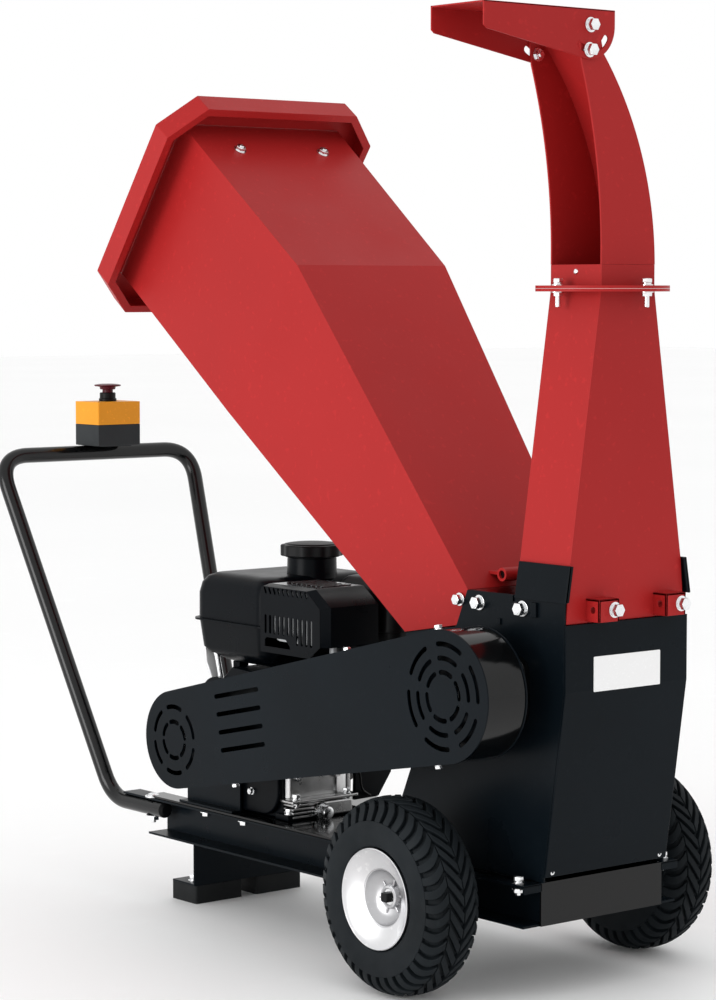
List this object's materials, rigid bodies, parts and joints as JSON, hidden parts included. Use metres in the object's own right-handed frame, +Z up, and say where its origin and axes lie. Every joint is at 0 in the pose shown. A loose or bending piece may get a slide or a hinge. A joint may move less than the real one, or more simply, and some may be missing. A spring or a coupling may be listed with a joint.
{
  "type": "wood chipper",
  "caption": "Petrol wood chipper on a wheeled frame with a hinged feed hopper, belt-driven rotor under a vented guard and a turning discharge chute with a tilting deflector.",
  "frame": {"origin": "middle of the overall box's footprint, on the ground that the wheels and feet stand on", "axes": "+X across the machine, away from the belt guard's side; +Y from the discharge chute towards the push handle; +Z up"},
  "size_m": [0.51, 1.262, 1.2605],
  "materials": {
    "red_paint": "smooth glossy powder coat",
    "black_paint": "smooth black powder coat",
    "steel": "machined steel",
    "zinc": "bright zinc plate",
    "cast_alloy": "as cast",
    "tyre_rubber": "moulded tread",
    "rubber": "plain moulded",
    "wheel_paint": "silver-white gloss paint",
    "black_plastic": "fine texture",
    "grey_plastic": "fine texture",
    "yellow_plastic": "smooth",
    "red_plastic": "gloss",
    "engine_paint": "satin black"
  },
  "bodies": {
    "machine": {"rail_right": "black_paint", "rail_left": "black_paint", "deck_plate": "black_paint", "rear_leg": "black_paint", "foot_left": "rubber", "foot_right": "rubber", "axle": "steel", "handle_tube": "black_paint", "stop_base": "grey_plastic", "stop_cover": "yellow_plastic", "stop_collar": "grey_plastic", "axle_screw_left": "zinc", "axle_screw_right": "zinc", "housing_side_right": "black_paint", "housing_side_left": "black_paint", "front_panel": "black_paint", "rear_panel": "black_paint", "hinge_plate": "black_paint", "rotor_casing": "black_paint", "bearing_right": "black_paint", "bearing_left": "black_paint", "anvil": "steel", "belt_guard_cover": "black_paint", "belt_guard_back": "black_paint", "guard_bracket": "black_paint", "v_belt": "rubber", "crankcase": "cast_alloy", "oil_drain_plug": "zinc", "fan_shroud": "engine_paint", "recoil_cover": "engine_paint", "fuel_tank": "engine_paint", "muffler": "steel", "muffler_guard": "engine_paint", "air_filter": "black_plastic", "cylinder": "cast_alloy", "valve_cover": "engine_paint", "lower_chute": "red_paint"},
    "wheel_left": {"tyre_left": "tyre_rubber", "rim_left": "wheel_paint"},
    "wheel_right": {"tyre_right": "tyre_rubber", "rim_right": "wheel_paint"},
    "rotor": {"rotor_drum": "steel", "rotor_shaft": "steel", "blade_upper": "steel", "blade_lower": "steel", "rotor_pulley": "steel"},
    "crank": {"crankshaft": "steel", "engine_pulley": "steel"},
    "hopper": {"hopper_body": "red_paint", "hopper_rim": "red_paint"},
    "flap": {"rubber_flap": "rubber"},
    "chute": {"upper_chute": "red_paint", "deflector_bolt": "zinc"},
    "spout": {"deflector": "red_paint"},
    "stop_knob": {"stop_button": "red_plastic"},
    "tank_cap": {"fuel_cap": "black_plastic"},
    "throttle": {"throttle_lever": "black_plastic"},
    "switch_knob": {"engine_switch": "red_plastic"},
    "starter": {"starter_grip": "black_plastic"}
  },
  "joints": [
    {"name": "wheel_left_spin", "type": "hinge", "parent": "machine", "child": "wheel_left", "pos_m": [-0.212, -0.394, 0.13], "axis": [1, 0, 0], "continuous": true},
    {"name": "wheel_right_spin", "type": "hinge", "parent": "machine", "child": "wheel_right", "pos_m": [0.212, -0.394, 0.13], "axis": [1, 0, 0], "continuous": true},
    {"name": "rotor_spin", "type": "hinge", "parent": "machine", "child": "rotor", "pos_m": [0, -0.483, 0.399], "axis": [1, 0, 0], "continuous": true},
    {"name": "crank_spin", "type": "hinge", "parent": "machine", "child": "crank", "pos_m": [0, 0.103, 0.272], "axis": [1, 0, 0], "continuous": true},
    {"name": "hopper_tilt", "type": "hinge", "parent": "machine", "child": "hopper", "pos_m": [0, -0.432, 0.541], "axis": [1, 0, 0], "range_deg": [0, 30]},
    {"name": "flap_swing", "type": "hinge", "parent": "hopper", "child": "flap", "pos_m": [0, 0.1427, 1.112], "axis": [1, 0, 0], "range_deg": [-45, 35]},
    {"name": "chute_turn", "type": "hinge", "parent": "machine", "child": "chute", "pos_m": [0, -0.545, 0.9136], "axis": [0, 0, 1], "range_deg": [-120, 120]},
    {"name": "deflector_tilt", "type": "hinge", "parent": "chute", "child": "spout", "pos_m": [-0.0715, -0.545, 1.2406], "axis": [0, 1, 0], "range_deg": [-31, 60]},
    {"name": "stop_press", "type": "slide", "parent": "machine", "child": "stop_knob", "axis": [0, 0, -1], "range_m": [0, 0.004], "stiffness_N_per_m": 800},
    {"name": "fuel_cap_turn", "type": "hinge", "parent": "machine", "child": "tank_cap", "pos_m": [0.014, 0.076, 0.5233], "axis": [0, 0, 1], "range_deg": [0, 90]},
    {"name": "throttle_swing", "type": "hinge", "parent": "machine", "child": "throttle", "pos_m": [0.0963, -0.048, 0.362], "axis": [1, 0, 0], "range_deg": [-25, 15]},
    {"name": "switch_turn", "type": "hinge", "parent": "machine", "child": "switch_knob", "pos_m": [0.0923, -0.014, 0.3], "axis": [1, 0, 0], "range_deg": [0, 60]},
    {"name": "starter_pull", "type": "slide", "parent": "machine", "child": "starter", "axis": [0, 0, 1], "range_m": [0, 0.035], "stiffness_N_per_m": 60}
  ],
  "couplings": [
    {"joint": "crank_spin", "follows": "rotor_spin", "ratio": 1.4278}
  ]
}
